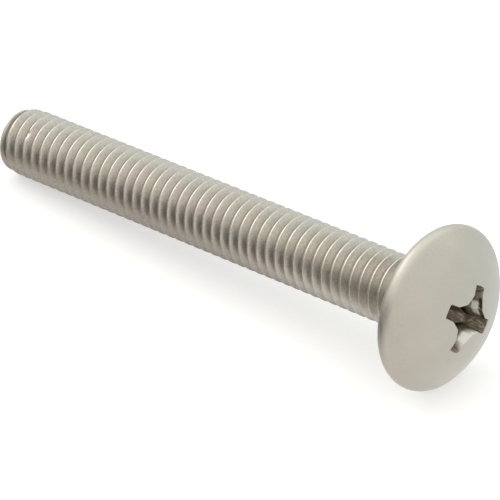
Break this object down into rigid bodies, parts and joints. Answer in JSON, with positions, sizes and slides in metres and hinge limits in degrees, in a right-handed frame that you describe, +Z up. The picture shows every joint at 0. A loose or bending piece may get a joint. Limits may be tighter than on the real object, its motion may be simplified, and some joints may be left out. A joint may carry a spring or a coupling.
{
  "type": "truss head machine screw",
  "caption": "Low domed cross-recess machine screw with a right-hand metric thread over its whole shank, lying on its rim and tip.",
  "frame": {"origin": "on the surface the screw rests on, under the centre of its bounding box", "axes": "+X along the screw from tip to head, which lies about 5 degrees above the surface; +Z up from the surface"},
  "size_m": [0.0504, 0.0136, 0.0137],
  "materials": {
    "stainless": "satin bright stainless steel, fine-grained on the thread flanks"
  },
  "bodies": {
    "root": {"screw": "stainless"}
  },
  "joints": []
}
